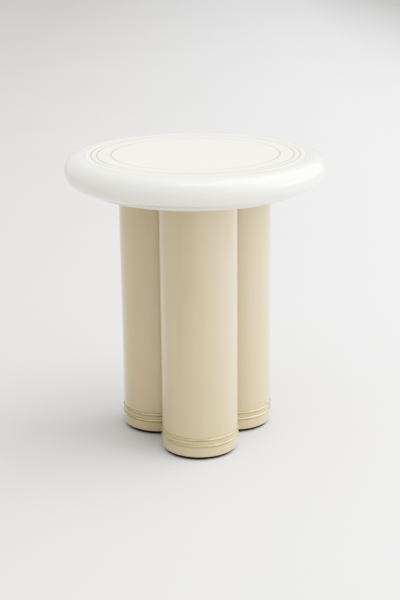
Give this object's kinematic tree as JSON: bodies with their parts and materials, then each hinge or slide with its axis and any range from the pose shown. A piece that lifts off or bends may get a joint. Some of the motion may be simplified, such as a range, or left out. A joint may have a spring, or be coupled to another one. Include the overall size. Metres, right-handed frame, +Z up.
{
  "type": "occasional table",
  "caption": "Round side table: a white bullnose rim round a cream top with brass lines, on round cream columns close together, each with brass beads and a recessed dark foot.",
  "frame": {"origin": "on the floor under the middle of the top", "axes": "+Z up through the middle of the top; the column that stands nearest in the picture is towards -Y, the right-hand one towards +X and a little +Y"},
  "size_m": [0.5059, 0.506, 0.572],
  "materials": {
    "white_lacquer": "gloss",
    "cream_lacquer": "gloss",
    "ivory_lacquer": "gloss",
    "brass": "polished",
    "board": "matte",
    "dark_foot": "matte",
    "foot_pad": "matte",
    "steel": "satin"
  },
  "bodies": {
    "root": {"rim_ring": "white_lacquer", "top_panel": "ivory_lacquer", "base_disc": "white_lacquer", "inlay_ring_outer": "brass", "inlay_ring_middle": "brass", "inlay_ring_inner": "brass", "core_hoop": "board", "core_hub": "board", "top_screws": "steel", "core_rib_1": "board", "core_rib_2": "board", "core_rib_3": "board", "core_rib_4": "board", "core_rib_5": "board", "core_rib_6": "board", "leg_shell_front": "cream_lacquer", "bead_upper_front": "brass", "bead_lower_front": "brass", "leg_top_plug_front": "board", "leg_bottom_plug_front": "board", "foot_disc_front": "dark_foot", "foot_screws_front": "steel", "foot_pad_front": "foot_pad", "leg_bolts_front": "steel", "bolt_washers_front": "steel", "leg_inserts_front": "steel", "leg_shell_right": "cream_lacquer", "bead_upper_right": "brass", "bead_lower_right": "brass", "leg_top_plug_right": "board", "leg_bottom_plug_right": "board", "foot_disc_right": "dark_foot", "foot_screws_right": "steel", "foot_pad_right": "foot_pad", "leg_bolts_right": "steel", "bolt_washers_right": "steel", "leg_inserts_right": "steel", "leg_shell_left": "cream_lacquer", "bead_upper_left": "brass", "bead_lower_left": "brass", "leg_top_plug_left": "board", "leg_bottom_plug_left": "board", "foot_disc_left": "dark_foot", "foot_screws_left": "steel", "foot_pad_left": "foot_pad", "leg_bolts_left": "steel", "bolt_washers_left": "steel", "leg_inserts_left": "steel"}
  },
  "joints": []
}
